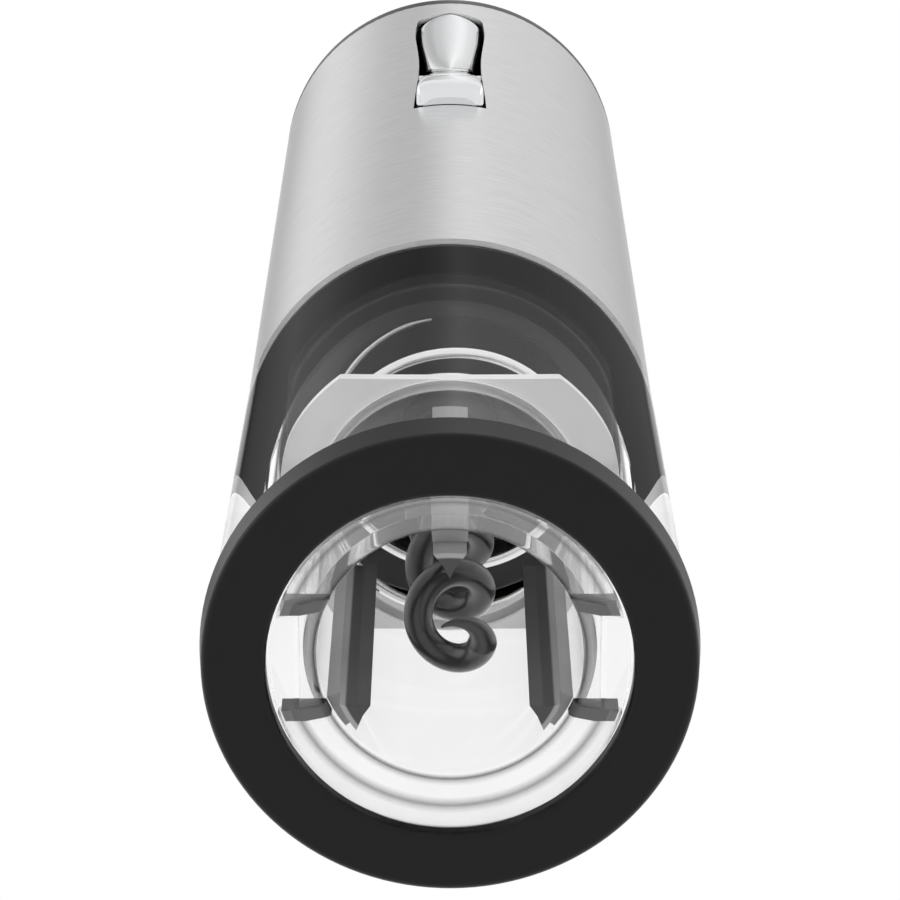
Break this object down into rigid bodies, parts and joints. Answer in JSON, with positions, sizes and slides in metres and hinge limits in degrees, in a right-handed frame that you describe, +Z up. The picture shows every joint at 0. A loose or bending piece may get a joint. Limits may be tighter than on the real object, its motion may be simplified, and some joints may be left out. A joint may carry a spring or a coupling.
{
  "type": "electric wine opener",
  "caption": "Battery-driven corkscrew: a brushed steel barrel with a rocker button over a clear end that fits on a bottle's neck and holds a driven worm.",
  "frame": {"origin": "centre of the bottom ring's lower face, on the barrel's axis", "axes": "+Z up the barrel; -Y is the side with the rocker button"},
  "size_m": [0.0506, 0.0523, 0.1865],
  "materials": {
    "black_soft_touch": "soft-touch satin",
    "clear_plastic": "clear",
    "clear_plastic_guide": "clear, slightly smoked",
    "brushed_steel": "circumferential brush",
    "black_plastic": "moulded",
    "dark_plastic": "moulded",
    "smoke_plastic": "moulded grey",
    "bronze": "sintered or drawn",
    "white_nylon": "moulded",
    "zinc_steel": "zinc plated",
    "motor_steel": "drawn",
    "ferrite": "sintered",
    "cell_wrap": "shrink-wrapped cell",
    "board_green": "solder mask",
    "polished_steel": "ground",
    "spring_steel": "drawn wire",
    "worm_coating": "non-stick coating",
    "mirror_chrome": "mirror plated"
  },
  "bodies": {
    "housing": {"bottom_ring": "black_soft_touch", "clear_sleeve": "clear_plastic", "steel_tube": "brushed_steel", "top_cap": "black_soft_touch", "bulkhead": "black_plastic", "output_bush": "bronze", "chassis_front": "black_plastic", "chassis_rear": "black_plastic", "gear_case": "white_nylon", "ring_gear": "white_nylon", "gear_cover": "white_nylon", "gearbox_screws": "zinc_steel", "motor_can": "motor_steel", "motor_screws": "zinc_steel", "motor_magnets": "ferrite", "motor_end_bell": "black_plastic", "motor_terminals": "bronze", "battery_cradle": "black_plastic", "battery_cells": "cell_wrap", "cell_straps": "zinc_steel", "circuit_board": "board_green", "board_screws": "zinc_steel", "button_switches": "black_plastic", "charge_board": "board_green", "socket_shell": "zinc_steel", "socket_tongue": "black_plastic", "pivot_pin": "polished_steel"},
    "guide": {"neck_guide": "clear_plastic_guide", "guide_keys": "smoke_plastic", "cork_grip_ribs": "dark_plastic", "guide_spring": "spring_steel"},
    "drive": {"worm": "worm_coating", "chuck": "black_plastic", "chuck_screw": "zinc_steel", "thrust_washer": "bronze", "output_shaft": "polished_steel", "planet_carrier": "motor_steel", "planet_pins": "polished_steel", "planet_clips": "zinc_steel"},
    "rotor": {"motor_shaft": "polished_steel", "sun_gear": "bronze", "motor_armature": "motor_steel", "motor_commutator": "bronze"},
    "planet_1": {"planet_gear_1": "white_nylon"},
    "planet_2": {"planet_gear_2": "white_nylon"},
    "planet_3": {"planet_gear_3": "white_nylon"},
    "rocker": {"rocker_button": "mirror_chrome"}
  },
  "joints": [
    {"name": "guide_slide", "type": "slide", "parent": "housing", "child": "guide", "axis": [0, 0, 1], "range_m": [0, 0.0178], "stiffness_N_per_m": 400, "springref_m": -0.01, "deforming": ["guide_spring"]},
    {"name": "worm_spin", "type": "hinge", "parent": "housing", "child": "drive", "pos_m": [0, 0, 0.0742], "axis": [0, 0, 1], "continuous": true},
    {"name": "motor_spin", "type": "hinge", "parent": "housing", "child": "rotor", "pos_m": [0, 0, 0.1], "axis": [0, 0, 1], "continuous": true},
    {"name": "rocker_tilt", "type": "hinge", "parent": "housing", "child": "rocker", "pos_m": [0, -0.0216, 0.145], "axis": [1, 0, 0], "range_deg": [-2.5, 2.5], "stiffness_Nm_per_rad": 0.8},
    {"name": "planet_1_spin", "type": "hinge", "parent": "drive", "child": "planet_1", "pos_m": [0.009, 0, 0.0784], "axis": [0, 0, 1], "continuous": true},
    {"name": "planet_2_spin", "type": "hinge", "parent": "drive", "child": "planet_2", "pos_m": [-0.0045, 0.00779, 0.0784], "axis": [0, 0, 1], "continuous": true},
    {"name": "planet_3_spin", "type": "hinge", "parent": "drive", "child": "planet_3", "pos_m": [-0.0045, -0.00779, 0.0784], "axis": [0, 0, 1], "continuous": true}
  ],
  "couplings": [
    {"joint": "worm_spin", "follows": "motor_spin", "ratio": 0.2},
    {"joint": "planet_1_spin", "follows": "motor_spin", "ratio": -0.53333},
    {"joint": "planet_2_spin", "follows": "motor_spin", "ratio": -0.53333},
    {"joint": "planet_3_spin", "follows": "motor_spin", "ratio": -0.53333}
  ]
}
